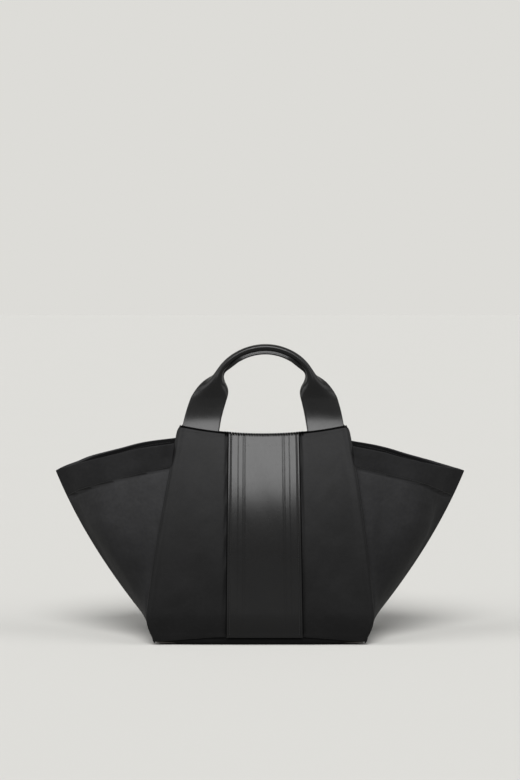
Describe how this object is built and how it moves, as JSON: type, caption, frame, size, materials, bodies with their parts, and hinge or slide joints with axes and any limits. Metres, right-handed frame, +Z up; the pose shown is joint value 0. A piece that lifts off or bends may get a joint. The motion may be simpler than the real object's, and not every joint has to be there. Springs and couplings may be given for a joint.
{
  "type": "shopper bag",
  "caption": "Winged shopper bag in black cloth with a leather front band, rolled leather handles that fold down, a lining, a magnetic snap and a zipped inner pocket.",
  "frame": {"origin": "middle of the flat base, where the bag rests", "axes": "+Z up, -Y out of the front face with the leather band, +X along the width to the wing on the viewer's right"},
  "size_m": [0.4488, 0.1527, 0.3222],
  "materials": {
    "cloth": "matt black woven cloth",
    "leather": "black smooth leather with a soft sheen",
    "facing_cloth": "matt black cloth, turned inside the rim",
    "lining_cloth": "plain dark lining cloth",
    "board": "stiffening board",
    "cord": "undyed cotton cord",
    "zip_tape": "black zip tape with nylon coils",
    "dark_metal": "dark plated metal"
  },
  "bodies": {
    "bag": {"base_panel": "cloth", "base_board": "board", "front_panel": "cloth", "back_panel": "cloth", "left_front_gusset": "cloth", "left_back_gusset": "cloth", "right_front_gusset": "cloth", "right_back_gusset": "cloth", "left_wing_facing": "facing_cloth", "right_wing_facing": "facing_cloth", "front_facing": "facing_cloth", "back_facing": "facing_cloth", "front_band": "leather", "lining": "lining_cloth", "front_left_tab": "leather", "front_right_tab": "leather", "back_left_tab": "leather", "back_right_tab": "leather", "snap_socket": "dark_metal", "snap_stud": "dark_metal", "snap_socket_washer": "dark_metal", "snap_stud_washer": "dark_metal", "zip_tape_upper": "zip_tape", "zip_tape_lower": "zip_tape", "pocket_bag": "lining_cloth"},
    "front_handle": {"front_handle": "leather", "front_handle_core": "cord"},
    "back_handle": {"back_handle": "leather", "back_handle_core": "cord"},
    "zip_slider": {"zip_slider": "dark_metal"},
    "zip_pull": {"zip_pull": "dark_metal"}
  },
  "joints": [
    {"name": "front_handle_fold", "type": "hinge", "parent": "bag", "child": "front_handle", "pos_m": [0, -0.02078, 0.238], "axis": [1, 0, 0], "range_deg": [-2.5, 125]},
    {"name": "back_handle_fold", "type": "hinge", "parent": "bag", "child": "back_handle", "pos_m": [0, 0.02078, 0.238], "axis": [-1, 0, 0], "range_deg": [-2.5, 125]},
    {"name": "zip_run", "type": "slide", "parent": "bag", "child": "zip_slider", "axis": [1, 0, 0], "range_m": [0, 0.125]},
    {"name": "zip_pull_swing", "type": "hinge", "parent": "zip_slider", "child": "zip_pull", "pos_m": [-0.0625, 0.04381, 0.15705], "axis": [0, 0.2738, -0.9618], "range_deg": [0, 180]}
  ]
}
